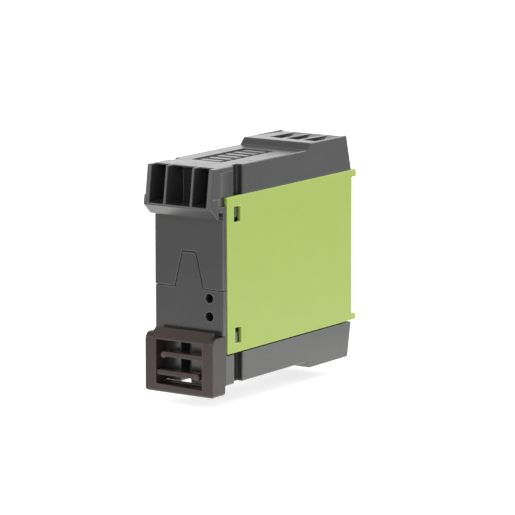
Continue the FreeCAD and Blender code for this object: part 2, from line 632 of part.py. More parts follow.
def build_lower_housing():
    """The lower half with the rear tongue, the latch guides and the lower terminal block."""
    body = new_body("lower_housing")
    front = COVER_TOP + " + cover_gap * 2"
    parting = PARTING + " - parting_gap / 2"
    pad(body, "lower_block", "YZ", [[
        ("0", parting),
        ("0", minus(TOP)),
        (BLOCK, minus(TOP)),
        (BLOCK + " + ramp_run", minus(BLOCK_TOP)),
        ("body_depth - lower_nose_run", minus(BLOCK_TOP)),
        ("body_depth", minus(front)),
        (PANEL_IN + " - cover_gap", minus(front)),
        (PANEL_IN + " - cover_gap", parting)]], minus(HALF), HALF)
    cut_cavity(body, "lower", "parting_drop - " + PAST)
    cut_cover_seat(body, minus(COVER_TOP) + " - cover_gap", PARTING + " + " + PAST)
    cut_groove(body, minus(TOP) + " - " + PAST, PARTING + " + " + PAST)
    add_snap_hook(body, "lower", "lower_slot_rear")
    tongue = [("-tongue_foot / 2 + parting_gap", parting),
              ("-tongue_top / 2 + parting_gap", PARTING + " + tongue_rise - parting_gap"),
              ("tongue_top / 2 - parting_gap", PARTING + " + tongue_rise - parting_gap"),
              ("tongue_foot / 2 - parting_gap", parting)]
    pad(body, "rear_tongue", "XZ", [tongue], "0", "rear_wall")
    hole_side = HALF + " - test_hole_edge"
    holes = [circle(hole_side, PARTING + " - test_hole_drop", "test_hole"),
             circle(hole_side, PARTING + " - test_hole_drop - test_hole_pitch", "test_hole")]
    pocket(body, "test_holes", "XZ", holes, minus(PAST), "rear_wall + " + PAST)
    guide = "body_width / 2 - latch_cheek - latch_play"
    guide_end = "(latch_wrap + latch_play)"
    outer = HALF + " + " + PAST
    rebate = [(guide, minus(PAST)), (guide, "0"), (guide + " - guide_flare", guide_end),
              (outer, guide_end), (outer, minus(PAST))]
    pocket(body, "latch_guides", "XY", [rebate, mirrored(rebate)],
           minus(TOP) + " - " + PAST, minus(CHEEK_TOP) + " + latch_play")
    pocket(body, "latch_channel", "XY",
           [rect("-channel_side - channel_width / 2", "-channel_side + channel_width / 2",
                 minus(PAST), "channel_depth")],
           minus(TOP) + " - " + PAST, "-%s + channel_rise" % RAIL_EDGE)
    slots = [pin_slot("upper", UPPER_ARM, 1), pin_slot("lower", LOWER_ARM, -1)]
    pocket(body, "pin_slots", "XZ", slots, minus(PAST), "arm_pin_reach + pin_play")
    cut_board_groove(body, "lower")
    shape_block(body, "lower")
    slope_block_top(body, "lower", "lower_nose_run")
    return body


def build_front_cover():
    """The green hood: two side plates and the front panel as one moulding."""
    body = new_body("front_cover")
    plan = [(minus(PLATE_OUT), "cover_rear"), (minus(PLATE_OUT), "body_depth"),
            (PLATE_OUT, "body_depth"), (PLATE_OUT, "cover_rear"),
            (PLATE_IN, "cover_rear"), (PLATE_IN, PANEL_IN),
            (minus(PLATE_IN), PANEL_IN), (minus(PLATE_IN), "cover_rear")]
    pad(body, "hood", "XY", [plan], minus(COVER_TOP), COVER_TOP)
    brow = rect("body_depth - cover_gap", "body_depth + brow_depth",
                COVER_TOP + " - brow_height", COVER_TOP)
    pad(body, "front_bars", "YZ", [brow, on_side("lower", brow)],
        minus(PLATE_OUT), PLATE_OUT)
    for side, rear in zip(SIDES, ("slot_rear", "lower_slot_rear")):
        slot = rect(rear, rear + " + slot_length",
                    COVER_TOP + " - slot_edge - slot_height", COVER_TOP + " - slot_edge")
        pocket(body, side + "_snap_slots", "YZ", [on_side(side, slot)],
               minus(PLATE_OUT) + " - " + PAST, PLATE_OUT + " + " + PAST)
    holes = [circle("0", height, "knob_hole") for height in KNOB_HEIGHTS]
    holes += [circle(across, PIPE_HEIGHT, "pipe_width + cover_gap * 2")
              for across in (PIPE_SIDE, minus(PIPE_SIDE))]
    pocket(body, "panel_holes", "XZ", holes, PANEL_IN + " - " + PAST, "body_depth + " + PAST)
    return body


def build_rail_latch():
    """The sliding latch: a frame with a nose behind the rail and cheeks round the housing."""
    body = new_body("rail_latch")
    inner = "body_width / 2 - latch_cheek"
    slope = "(guide_flare / (latch_wrap + latch_play))"
    plan = [(minus(HALF), "-latch_reach"), (HALF, "-latch_reach"), (HALF, "latch_wrap"),
            ("%s - %s * latch_wrap" % (inner, slope), "latch_wrap"),
            ("%s + %s * latch_play" % (inner, slope), "-latch_play"),
            ("-(%s + %s * latch_play)" % (inner, slope), "-latch_play"),
            ("-(%s - %s * latch_wrap)" % (inner, slope), "latch_wrap"),
            (minus(HALF), "latch_wrap")]
    pad(body, "frame", "XY", [plan], minus(LATCH_FOOT), minus(CHEEK_TOP))
    dress(body, "Fillet", "cheek_corners", "latch_corner",
          lies_at(y=["-latch_reach"], z=[minus(CHEEK_TOP)]))
    dress(body, "Fillet", "foot_corners", "foot_corner",
          lies_at(x=[HALF, minus(HALF)], z=[minus(LATCH_FOOT)]))
    sill = minus(SLOT_END)
    pocket(body, "window", "XZ",
           [rect(minus(WINDOW_HALF), WINDOW_HALF, minus(WINDOW_FOOT), sill)],
           "-latch_reach - " + PAST, PAST)
    pocket(body, "rail_room", "XZ",
           [rect(minus(inner), inner, sill, "-%s + %s" % (CHEEK_TOP, PAST))],
           "-latch_reach - " + PAST, "latch_wrap + " + PAST)
    nose = [("-latch_reach", sill), ("-flange_slot", sill),
            ("-flange_slot", sill + " + nose_rise"), ("-latch_reach", sill + " + nose_heel")]
    pad(body, "nose", "YZ", [nose], minus(inner) + " - latch_play", inner + " + latch_play")
    pad(body, "foot_ridge", "YZ",
        [rect("-latch_play - foot_ridge_thick", "-latch_play",
              minus(WINDOW_FOOT) + " - latch_foot / 2", minus(WINDOW_FOOT) + " + foot_ridge")],
        minus(WINDOW_HALF) + " - latch_play", WINDOW_HALF + " + latch_play")
    return body


def arm_end(side, drop, way):
    """Place of a spring arm's end across the body, and the middle of its knob."""
    end = "(%s - %s_arm_gap) * %d" % (WINDOW_HALF, side, -way)
    return end, "%s + arm_knob / 2 * %d" % (end, way), "-(%s + arm_knob / 2)" % drop


def pin_slot(side, drop, way):
    """The slot in the rear wall that holds the pin of a spring arm's free end."""
    across, up = arm_end(side, drop, way)[1:]
    return rect(across + " - pin_slot / 2", across + " + pin_slot / 2",
                up + " - arm_pin / 2 - pin_play", up + " + arm_pin / 2 + pin_play")


def build_spring_arm(side, drop, way):
    """A spring arm from one side member to its free end, with a knob and a pin there."""
    body = new_body(side + "_spring_arm")
    root = "%s * %d" % (WINDOW_HALF, way)
    end, across, up = arm_end(side, drop, way)
    near = "-latch_reach + arm_inset"
    far = near + " + arm_depth"
    span = sorted((root, across), key=value)
    pad(body, "arm", "XZ", [rect(span[0], span[1], minus(drop) + " - arm_thick", minus(drop))],
        near, far)
    pad(body, "knob", "XZ", [circle(across, up, "arm_knob")], near, far)
    pad(body, "pin", "XZ", [circle(across, up, "arm_pin")], far + " - latch_play",
        "arm_pin_reach")
    return body


ADJUSTERS = (("range_switch", "range_knob"), ("time_potentiometer", "time_knob"),
             ("function_switch", "function_knob"))


def build_adjusters():
    """Three rotary parts on the front board, each with its knob in the panel."""
    seat = "(spindle_length + board_play * 2)"
    for (part_label, knob_label), height in zip(ADJUSTERS, KNOB_HEIGHTS):
        part = new_body(part_label)
        pad(part, "case", "XZ",
            [rect("-%s / 2" % POT_WIDTH, "%s / 2" % POT_WIDTH,
                  "%s - %s / 2" % (height, POT_WIDTH), "%s + %s / 2" % (height, POT_WIDTH))],
            FRONT_BOARD, POT_FACE)
        pocket(part, "bore", "XZ", [circle("0", height, "knob_spindle + spindle_play * 2")],
               POT_FACE + " - " + seat, POT_FACE + " + " + PAST)
        dress(part, "Chamfer", "case_corners", POT_WIDTH + " / 12",
              lies_at(x=["-%s / 2" % POT_WIDTH, "%s / 2" % POT_WIDTH],
                      z=["%s - %s / 2" % (height, POT_WIDTH),
                         "%s + %s / 2" % (height, POT_WIDTH)]))
        knob = new_body(knob_label)
        face = "body_depth + knob_proud"
        pad(knob, "head", "XZ", [circle("0", height, "knob_width")],
            POT_FACE + " + board_play * 2", face)
        pad(knob, "spindle", "XZ", [circle("0", height, "knob_spindle")],
            POT_FACE + " - spindle_length", POT_FACE + " + board_play * 3")
        slot = rect("-screw_slot / 2", "screw_slot / 2",
                    height + " - knob_width * 0.34", height + " + knob_width * 0.3")
        pocket(knob, "driver_slot", "XZ", [slot], face + " - screw_slot_depth",
               face + " + " + PAST)
        pointer = [("-knob_width / 9", height + " + knob_width * 0.35"),
                   ("0", height + " + knob_width * 0.43"),
                   ("knob_width / 9", height + " + knob_width * 0.35")]
        pocket(knob, "pointer", "XZ", [pointer], face + " - screw_slot_depth / 3",
               face + " + " + PAST)
        dress(knob, "Chamfer", "rim", "knob_width / 22", on_face(face))


def on_face(place):
    """A test for the round outer edge that lies in a plane across the depth."""
    reach = value("knob_width / 2")

    def test(edge):
        return (edge.Curve.TypeId == "Part::GeomCircle"
                and abs(edge.Curve.Radius - reach) < 0.01
                and abs(edge.Curve.Center.y - value(place)) < 0.01)
    return test


def build_terminal(side, number):
    """One screw, its clamp cage and its busbar."""
    at = terminal_place(number)
    up = heights(side, SCREW, SCREW)[0]
    name = "%s_%d" % (side, number)

    screw = new_body("terminal_screw_" + name)
    pad(screw, "head", "XZ", [circle(at, up, "screw_head")],
        HEAD, HEAD + " + screw_head_height")
    pad(screw, "shank", "XZ", [circle(at, up, "shank")], CAGE_NUT, HEAD + " + cage_play")
    pocket(screw, "driver_slot", "XZ",
           [rect(at + " - screw_head", at + " + screw_head",
                 up + " - screw_slot / 2", up + " + screw_slot / 2")],
           HEAD + " + screw_head_height - screw_slot_depth",
           HEAD + " + screw_head_height + " + PAST)

    cage = new_body("clamp_cage_" + name)
    low, high = heights(side, SCREW + " - cage_height / 2", SCREW + " + cage_height / 2")
    pad(cage, "cage", "XY",
        [rect("%s - %s / 2" % (at, CAGE_WIDTH), "%s + %s / 2" % (at, CAGE_WIDTH),
              CAGE, CAGE + " + cage_length")], low, high)
    pocket(cage, "wire_room", "XY",
           [rect("%s - %s / 2 + cage_side" % (at, CAGE_WIDTH),
                 "%s + %s / 2 - cage_side" % (at, CAGE_WIDTH),
                 CAGE + " + cage_back", CAGE_NUT)], low, high)
    pocket(cage, "threaded_hole", "XZ", [circle(at, up, "shank + shank_play * 2")],
           CAGE_NUT + " - cage_play", CAGE + " + cage_length + " + PAST)

    bar = new_body("busbar_" + name)
    bar_rear = BAR_FRONT + " - bar_thick"
    bar_top = SCREW + " + cage_height / 2 - cage_play * 2"
    run_top = CAVITY_FLOOR + " - board_play * 4 - bar_step * %d" % (number - 1)
    low, high = heights(side, run_top + " - bar_run", bar_top)
    pad(bar, "upright", "XY",
        [rect("%s - %s / 2" % (at, BAR_WIDTH), "%s + %s / 2" % (at, BAR_WIDTH),
              bar_rear, BAR_FRONT)], low, high)
    low, high = heights(side, run_top + " - bar_run", run_top)
    pad(bar, "run", "XY",
        [rect(BOARD_FACE, at, bar_rear, BAR_FRONT)], low, high)


def build_boards():
    """The main board beside the parts and the front board behind the adjusters."""
    main = new_body("main_board")
    tall = CAVITY_TOP + " + board_groove - board_play"
    low = CAVITY_FLOOR + " - board_play * 2"
    rear_end = BLOCK_WALL + " - board_play"
    pad(main, "main_board_outline", "YZ", [[
        ("board_rear + board_play", minus(tall)),
        (rear_end, minus(tall)), (rear_end, minus(low)),
        (FRONT_BOARD_BACK, minus(low)), (FRONT_BOARD_BACK, low),
        (rear_end, low), (rear_end, tall),
        ("board_rear + board_play", tall)]], BOARD_BACK, BOARD_FACE)
    front = new_body("front_board")
    half = CAVITY_HALF + " - board_play"
    pad(front, "front_board_outline", "XZ",
        [rect(minus(half), half, minus(low), low)], FRONT_BOARD_BACK, FRONT_BOARD)


def build_board_parts():
    """The sealed parts on the main board."""
    face = BOARD_FACE
    relay = new_body("output_relay")
    relay_top = CAVITY_HALF + " - relay_room"
    relay_end = FRONT_BOARD_BACK + " - relay_set"
    pad(relay, "case", "YZ",
        [rect(relay_end + " - relay_width", relay_end, "-relay_length / 2", "relay_length / 2")],
        face, relay_top)
    dress(relay, "Fillet", "case_edges", "relay_width / 20", lies_at(x=[relay_top]))
    chip_end = FRONT_BOARD_BACK + " - chip_set"
    box("timer_chip", (face, face + " + chip_thick"),
        (chip_end + " - chip_width", chip_end), ("-chip_length / 2", "chip_length / 2"))

    rear = "board_rear + board_play + part_gap"
    foot = minus(CAVITY_TOP) + " + film_lift"
    box("dropper_capacitor", (face, CAVITY_HALF + " - film_room"),
        (rear, rear + " + film_width"), (foot, foot + " + film_length"))
    box("bridge_rectifier", (face, face + " + bridge_height"), (rear, rear + " + bridge_width"),
        ("-bridge_drop - bridge_width / 2", "-bridge_drop + bridge_width / 2"))
    can = new_body("smoothing_capacitor")
    can_top = CAVITY_HALF + " - can_room"
    pad(can, "can", "YZ",
        [circle(rear + " + can_width / 2", CAVITY_TOP + " - can_drop", "can_width")],
        face, can_top)
    dress(can, "Fillet", "can_edge", "can_width / 12", lies_at(x=[can_top]))
    disc = new_body("surge_suppressor")
    disc_rear = rear + " + film_width + part_gap"
    pad(disc, "disc", "XZ",
        [circle(face + " + disc_width / 2", foot + " + disc_lift", "disc_width")],
        disc_rear, disc_rear + " + disc_thick")


def build_lights():
    """Two light chips on the front board and the pipes that carry their light out."""
    for name, side in (("power", minus(PIPE_SIDE)), ("output", PIPE_SIDE)):
        box(name + "_light", (side + " - chip_size / 2", side + " + chip_size / 2"),
            (FRONT_BOARD, FRONT_BOARD + " + chip_height"),
            (PIPE_HEIGHT + " - chip_size / 2", PIPE_HEIGHT + " + chip_size / 2"))
        pipe = new_body(name + "_light_pipe")
        pad(pipe, "pipe", "XZ", [circle(side, PIPE_HEIGHT, "pipe_width")],
            FRONT_BOARD + " + chip_height + board_play", "body_depth + pipe_proud")
        pad(pipe, "flange", "XZ", [circle(side, PIPE_HEIGHT, "pipe_flange")],
            PANEL_IN + " - pipe_flange_thick - cover_gap", PANEL_IN + " - cover_gap")


def build_all():
    write_sizes()
    build_upper_housing()
    build_lower_housing()
    build_front_cover()
    build_rail_latch()
    build_spring_arm("upper", UPPER_ARM, 1)
    build_spring_arm("lower", LOWER_ARM, -1)
    build_boards()
    build_board_parts()
    build_adjusters()
    build_lights()
    for side in SIDES:
        for number in (1, 2, 3):
            build_terminal(side, number)
    doc.recompute()


def subparts():
    """The finished sub-parts: the bodies and the single blocks."""
    return [item for item in doc.Objects
            if item.TypeId in ("PartDesign::Body", "Part::Box")]


def check_model():
    """Stop if a feature failed, a cut took nothing away or a sub-part isn't one sound solid."""
    for item in doc.Objects:
        if "Invalid" in item.State or "Error" in item.State:
            raise RuntimeError("%s failed: %s" % (item.Label, item.State))
        if item.TypeId == "PartDesign::Pocket":
            if item.BaseFeature.Shape.Volume - item.Shape.Volume < 1e-4:
                raise RuntimeError("%s cut nothing away" % item.Label)
    for item in subparts():
        shape = item.Shape
        if shape.isNull() or not shape.isValid() or len(shape.Solids) != 1:
            raise RuntimeError("%s isn't one sound solid" % item.Label)


def export_model():
    os.makedirs("parts", exist_ok=True)
    for item in subparts():
        item.Shape.exportStep("parts/%s.step" % item.Label)
        print("%s volume %.2f" % (item.Label, item.Shape.Volume))


build_all()
check_model()
export_model()
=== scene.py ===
"""Looks of a timer relay for a 35 mm mounting rail: housing, cover, latch, dials and inside."""

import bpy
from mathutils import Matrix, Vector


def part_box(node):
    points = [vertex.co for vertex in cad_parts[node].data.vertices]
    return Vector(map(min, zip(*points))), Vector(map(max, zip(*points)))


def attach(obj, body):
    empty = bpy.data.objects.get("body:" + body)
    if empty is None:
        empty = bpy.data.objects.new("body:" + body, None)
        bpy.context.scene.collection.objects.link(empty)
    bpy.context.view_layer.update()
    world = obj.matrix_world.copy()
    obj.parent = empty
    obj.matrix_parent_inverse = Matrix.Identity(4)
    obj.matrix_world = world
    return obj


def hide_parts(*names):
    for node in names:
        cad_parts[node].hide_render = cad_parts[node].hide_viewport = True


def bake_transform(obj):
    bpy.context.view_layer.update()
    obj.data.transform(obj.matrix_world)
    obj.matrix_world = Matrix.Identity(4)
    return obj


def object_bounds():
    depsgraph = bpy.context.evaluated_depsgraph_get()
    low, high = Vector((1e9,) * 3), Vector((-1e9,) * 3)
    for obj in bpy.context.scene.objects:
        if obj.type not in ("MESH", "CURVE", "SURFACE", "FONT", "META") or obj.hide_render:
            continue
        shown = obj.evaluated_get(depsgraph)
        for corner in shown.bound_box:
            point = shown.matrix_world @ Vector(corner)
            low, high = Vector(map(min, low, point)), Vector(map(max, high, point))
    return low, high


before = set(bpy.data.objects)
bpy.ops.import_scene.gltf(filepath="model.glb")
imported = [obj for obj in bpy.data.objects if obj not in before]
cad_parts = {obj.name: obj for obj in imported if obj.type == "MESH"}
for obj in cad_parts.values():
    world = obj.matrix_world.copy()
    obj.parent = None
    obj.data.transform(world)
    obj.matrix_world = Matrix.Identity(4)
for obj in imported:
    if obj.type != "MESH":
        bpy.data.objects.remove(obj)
cad_box = [list(corner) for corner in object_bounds()]

import math

import bmesh
import bpy
from bpy.props import FloatProperty, FloatVectorProperty, IntProperty, PointerProperty
from bpy.types import Operator, Panel, PropertyGroup
from mathutils import Euler, Matrix, Vector
from mathutils.geometry import intersect_point_line

bl_info = {
    "name": "Timer Relay Looks",
    "version": (1, 0, 0),
    "blender": (4, 5, 0),
    "location": "View3D > Sidebar > Relay",
    "description": "Dresses the timer relay's frame with its plastics, metals, dials and stage",
    "category": "Object",
}

# The camera's place, turn and lens, found from the object's own edges in the photograph.
CAMERA_PLACE = (0.587224, -0.834597, 0.179843)
CAMERA_TURN = (math.radians(80.25), 0.0, math.radians(34.1))
CAMERA_LENS = 271.3
SENSOR_WIDTH = 36.0
CAMERA_CLIP = (0.01, 50.0)

# Each lamp: its name, its place and the length of its sides. All three look at one point.
LAMPS = (("key lamp", (-0.5, -0.72, 0.3), 0.5),
         ("rim lamp", (0.13, 0.75, 0.52), 0.35),
         ("back lamp", (-0.5, 0.75, 0.28), 0.5))
LAMP_AIM = Vector((0.0, 0.03, 0.0))

# The pale floor's two near whites, the distances between which its glow fades, and the shift
# that brings the glow's middle under the relay.
FLOOR_WHITES = ((0.9, 0.9, 0.9), (0.93, 0.93, 0.93))
GLOW_REACH = (0.06, 0.2)
GLOW_SHIFT = (-0.01, -0.04, 0.0)

# How fine the clouds, patches, scratches and copper runs of the finishes are.
PLASTIC_CLOUDS = 90.0
PLASTIC_PATCHES = 260.0
METAL_CLOUDS = 420.0
METAL_SCRATCHES = 1500.0
LENS_CLOUDS = 500.0
LENS_PATCHES = 900.0
BOARD_RUNS = 260.0
BOARD_PATCHES = 700.0
FLOOR_CLOUDS = 3.0

# How much smoother and rougher than its mean a finish gets.
PLASTIC_UNEVEN = (0.03, 0.03)
METAL_UNEVEN = (0.08, 0.1)
LENS_UNEVEN = (0.05, 0.08)
BOARD_UNEVEN = (0.08, 0.08)

# Plastic is painted pale along its outer edges, partly rubbed wear and partly a painted
# highlight, as far in from an edge as this many of its radii, and the paleness fades between
# these two shares of free room round a point.
RUB_HIGHLIGHT_REACH = 1.7
RUB_HIGHLIGHT_FADE = (0.6, 0.97)

# Metal: the dark shade of its clouds, depth of its scratches, radius of its edges, and the
# stretch of a strip drawn along Y.
METAL_DARK = 0.86
SCRATCH_DEPTH = 0.000004
METAL_EDGE = 0.00008
DRAWN = (1.0, 0.2, 1.0)

# Lights: the dark shade of their clouds. A pipe is pale grey with a share of its light's colour.
LENS_DARK = 0.88
PIPE_GREY = 0.25
PIPE_TINT = 0.7

# Boards: roughness, shades of the copper runs and of the gaps between, the gaps' width and the
# height of the copper.
BOARD_ROUGHNESS = 0.34
RUN_SHADES = (("Color1", 1.25), ("Color2", 1.0), ("Mortar", 0.6))
RUN_GAP = 0.06
RUN_HEIGHT = 0.00003

# Distances and an angle under which corners and faces of a shape are one.
WELD = 2e-6
SLIVER = 1e-6
SAME_FACE = math.radians(0.4)

# What tells a real edge from a step of a curved face, and where a rounding has room.
CRISP_ANGLE = math.radians(24)
FLAT_ANGLE = math.radians(3)
BROAD_FACE = 0.0023
ROOM_SHARE = 0.45
ROUNDING_SHARES = (1.0, 0.5, 0.25)
ROUNDING_STEPS = 2
LEAST_SLANT = 0.35
WIDEST_CORNER = 3.1

# A spring bar: how far its knob stands out of the bar's faces, how deep the pin is let into the
# knob, the sides of knob and pin, the least angle of a crisp edge and the steps of a round rim.
KNOB_STEP = 0.00006
PIN_ROOT = 0.0002
KNOB_SIDES = 40
PIN_SIDES = 24
BAR_CRISP = math.radians(40)
RIM_STEPS = 3

# The dials: the knobs' turn either way from the top, the arc round the time knob, and how far a
# longer label moves out for each further sign.
STEP_TURN = 105.0
SCALE_TURN = 140.0
ARC_WIDTH = 0.0003
ARC_STEPS = 48
ARC_START = 0.08
LABEL_SHIFT = 0.00022
RANGES = ("1s", "10s", "1m", "10m", "1h", "10h", "100h")
SCALE = tuple(str(number) for number in range(11))
FUNCTIONS = tuple(str(number) for number in range(1, 8))

# The front panel's face is one that looks forward, within this height of the middle.
LOOKS_FORWARD = 0.99
PANEL_HALF = 0.018

KNOBS = ("range_knob", "time_knob", "function_knob")
TERMINALS = tuple(f"{row}_{place}" for row in ("upper", "lower") for place in (1, 2, 3))


class RelayColours(PropertyGroup):
    """Colours of the relay's plastics, board and print."""

    housing: FloatVectorProperty(
        name="Housing", description="Dark grey plastic of the two housing halves",
        subtype="COLOR", size=3, min=0.0, max=1.0, default=(0.037, 0.0365, 0.036))
    cover: FloatVectorProperty(
        name="Cover", description="Lime green plastic of the hood and the front panel",
        subtype="COLOR", size=3, min=0.0, max=1.0, default=(0.462, 0.607, 0.114))
    latch: FloatVectorProperty(
        name="Latch", description="Brown black plastic of the rail latch and its springs",
        subtype="COLOR", size=3, min=0.0, max=1.0, default=(0.041, 0.026, 0.024))
    knob: FloatVectorProperty(
        name="Adjusters", description="Pale plastic of the three adjusters",
        subtype="COLOR", size=3, min=0.0, max=1.0, default=(0.64, 0.64, 0.61))
    marks: FloatVectorProperty(
        name="Dial marks", description="Ink of the marks and numbers round the adjusters",
        subtype="COLOR", size=3, min=0.0, max=1.0, default=(0.02, 0.022, 0.024))
    power_light: FloatVectorProperty(
        name="Power light", description="Colour of the supply light",
        subtype="COLOR", size=3, min=0.0, max=1.0, default=(0.12, 0.62, 0.16))
    output_light: FloatVectorProperty(
        name="Output light", description="Colour of the output light",
        subtype="COLOR", size=3, min=0.0, max=1.0, default=(0.86, 0.4, 0.04))
    board: FloatVectorProperty(
        name="Boards", description="Solder resist of the two circuit boards",
        subtype="COLOR", size=3, min=0.0, max=1.0, default=(0.03, 0.17, 0.075))


class RelaySizes(PropertyGroup):
    """Sizes of the finish: edge radii, spring bars and dial marks."""

    housing_edge: FloatProperty(
        name="Housing edges", description="Radius of the moulded edges of the housing",
        subtype="DISTANCE", unit="LENGTH", min=0.0, max=0.001, default=0.00028)
    cover_edge: FloatProperty(
        name="Cover edges", description="Radius of the moulded edges of the green cover",
        subtype="DISTANCE", unit="LENGTH", min=0.0, max=0.001, default=0.0002)
    cover_joint: FloatProperty(
        name="Cover joint", description="Open joint between the cover and the lower housing",
        subtype="DISTANCE", unit="LENGTH", min=0.0, max=0.0006, default=0.00028)
    latch_edge: FloatProperty(
        name="Latch edges", description="Radius of the moulded edges of the latch",
        subtype="DISTANCE", unit="LENGTH", min=0.0, max=0.001, default=0.00025)
    spring_depth: FloatProperty(
        name="Spring depth", description="Width of a spring bar along the relay's depth",
        subtype="DISTANCE", unit="LENGTH", min=0.001, max=0.004, default=0.003)
    spring_height: FloatProperty(
        name="Spring height", description="Height of a spring bar",
        subtype="DISTANCE", unit="LENGTH", min=0.001, max=0.0017, default=0.0014)
    spring_pin: FloatProperty(
        name="Spring pin", description="Radius of the pin behind a spring bar's knob",
        subtype="DISTANCE", unit="LENGTH", min=0.0002, max=0.0008, default=0.0005)
    spring_edge: FloatProperty(
        name="Spring edges", description="Radius of a spring bar's edges",
        subtype="DISTANCE", unit="LENGTH", min=0.00005, max=0.0005, default=0.00018)
    spring_steps: IntProperty(
        name="Spring steps", description="Cuts along a spring bar where it bends",
        min=8, max=80, default=36)
    mark_inner: FloatProperty(
        name="Mark start", description="Distance of a dial mark's inner end from the axis",
        subtype="DISTANCE", unit="LENGTH", min=0.0036, max=0.005, default=0.0039)
    mark_outer: FloatProperty(
        name="Mark end", description="Distance of a dial mark's outer end from the axis",
        subtype="DISTANCE", unit="LENGTH", min=0.004, max=0.0055, default=0.0045)
    mark_width: FloatProperty(
        name="Mark width", description="Width of a dial mark",
        subtype="DISTANCE", unit="LENGTH", min=0.0001, max=0.0005, default=0.0002)
    number_ring: FloatProperty(
        name="Number ring", description="Distance of the numbers' middles from the axis",
        subtype="DISTANCE", unit="LENGTH", min=0.0045, max=0.008, default=0.0054)
    number_height: FloatProperty(
        name="Number height", description="Height of the numbers on the dials",
        subtype="DISTANCE", unit="LENGTH", min=0.0005, max=0.002, default=0.0012)
    ink: FloatProperty(
        name="Ink", description="Thickness of the printed ink",
        subtype="DISTANCE", unit="LENGTH", min=0.00001, max=0.0001, default=0.00003)


class RelayStage(PropertyGroup):
    """The floor, the lamps and the surroundings."""

    floor_gap: FloatProperty(
        name="Floor gap", description="Room under the relay, which the latch slides down into",
        subtype="DISTANCE", unit="LENGTH", min=0.0, max=0.01, default=0.0033)
    floor_size: FloatProperty(
        name="Floor size", description="Length of the floor's sides",
        subtype="DISTANCE", unit="LENGTH", min=1.0, max=20.0, default=9.0)
    floor_lift: FloatProperty(
        name="Floor brightness", description="How far the floor is brightened for the camera",
        min=0.0, max=1.0, default=0.68)
    floor_glow: FloatProperty(
        name="Floor glow", description="Brightness near the relay that its gloss mirrors",
        min=0.0, max=3.0, default=1.7)
    floor_far: FloatProperty(
        name="Far floor", description="Brightness far from the relay that its gloss mirrors",
        min=0.0, max=1.0, default=0.2)
    ambient: FloatProperty(
        name="Ambient", description="Strength of the light from all round",
        min=0.0, max=2.0, default=0.8)
    key_power: FloatProperty(
        name="Key lamp", description="Power of the large lamp on the left of the rail side",
        subtype="POWER", unit="POWER", min=0.0, max=100.0, default=1.5)
    rim_power: FloatProperty(
        name="Rim lamp", description="Power of the lamp behind that draws the upper edges",
        subtype="POWER", unit="POWER", min=0.0, max=100.0, default=1.7)
    back_power: FloatProperty(
        name="Back lamp", description="Power of the soft lamp whose sheen lies on the top",
        subtype="POWER", unit="POWER", min=0.0, max=100.0, default=0.3)


def colours():
    """The colours that are set in the sidebar."""
    return bpy.context.scene.relay_colours


def sizes():
    """The sizes that are set in the sidebar."""
    return bpy.context.scene.relay_sizes


def new_finish(name):
    """A new material with its node tree and its shader."""
    material = bpy.data.materials.new(name)
    material.use_nodes = True
    tree = material.node_tree
    shader = tree.nodes["Principled BSDF"]
    return material, tree, shader


def link(tree, start, end):
    """Join one socket to another."""
    tree.links.new(start, end)


def combined(tree, operation, *values):
    """Numbers and sockets taken together by one sum."""
    node = tree.nodes.new("ShaderNodeMath")
    node.operation = operation
    for socket, value in zip(node.inputs, values):
        if isinstance(value, bpy.types.NodeSocket):
            link(tree, value, socket)
        else:
            socket.default_value = value
    return node.outputs["Value"]


def place_socket(tree, stretch=(1.0, 1.0, 1.0), shift=(0.0, 0.0, 0.0)):
    """Object coordinates, stretched where a finish runs one way, and shifted."""
    coordinates = tree.nodes.new("ShaderNodeTexCoord")
    mapping = tree.nodes.new("ShaderNodeMapping")
    mapping.inputs["Scale"].default_value = stretch
    mapping.inputs["Location"].default_value = shift
    link(tree, coordinates.outputs["Object"], mapping.inputs["Vector"])
    return mapping.outputs["Vector"]


def noise(tree, where, scale, detail=3.0, roughness=0.55):
    """Cloudy values about 0.5, finer with a larger scale."""
    node = tree.nodes.new("ShaderNodeTexNoise")
    node.inputs["Scale"].default_value = scale
    node.inputs["Detail"].default_value = detail
    node.inputs["Roughness"].default_value = roughness
    link(tree, where, node.inputs["Vector"])
    return node.outputs["Fac"]


def spread(tree, value, low, high, start=0.3, end=0.7):
    """The value's middle range, spread from low to high."""
    node = tree.nodes.new("ShaderNodeMapRange")
    node.inputs["From Min"].default_value = start
    node.inputs["From Max"].default_value = end
    node.inputs["To Min"].default_value = low
    node.inputs["To Max"].default_value = high
    link(tree, value, node.inputs["Value"])
    return node.outputs["Result"]


def between(tree, amount, first, second):
    """A colour between two, by an amount. The first can be a socket."""
    node = tree.nodes.new("ShaderNodeMix")
    node.data_type = "RGBA"
    if isinstance(first, bpy.types.NodeSocket):
        link(tree, first, node.inputs["A"])
    else:
        node.inputs["A"].default_value = (*first, 1.0)
    node.inputs["B"].default_value = (*second, 1.0)
    link(tree, amount, node.inputs["Factor"])
    return node.outputs["Result"]


def cloudy(tree, clouds, first, second):
    """A colour that drifts between two shades."""
    return between(tree, spread(tree, clouds, 0.0, 1.0), first, second)


def uneven_gloss(tree, shader, patches, roughness, uneven):
    """A roughness that patches shift a little either way."""
    less, more = uneven
    link(tree, spread(tree, patches, roughness - less, roughness + more),
         shader.inputs["Roughness"])


def raised(tree, height, distance, strength, below=None):
    """The surface raised by a height, over an edge that is rounded already."""
    node = tree.nodes.new("ShaderNodeBump")
    node.inputs["Strength"].default_value = strength
    node.inputs["Distance"].default_value = distance
    link(tree, height, node.inputs["Height"])
    if below is not None:
        link(tree, below, node.inputs["Normal"])
    return node.outputs["Normal"]


def rounded_edge(tree, radius):
    """The surface with its sharp edges shown rounded."""
    node = tree.nodes.new("ShaderNodeBevel")
    node.samples = 4
    node.inputs["Radius"].default_value = radius
    return node.outputs["Normal"]


def shade(colour, factor):
    """A lighter or darker shade of a colour."""
    return tuple(min(1.0, part * factor) for part in colour)


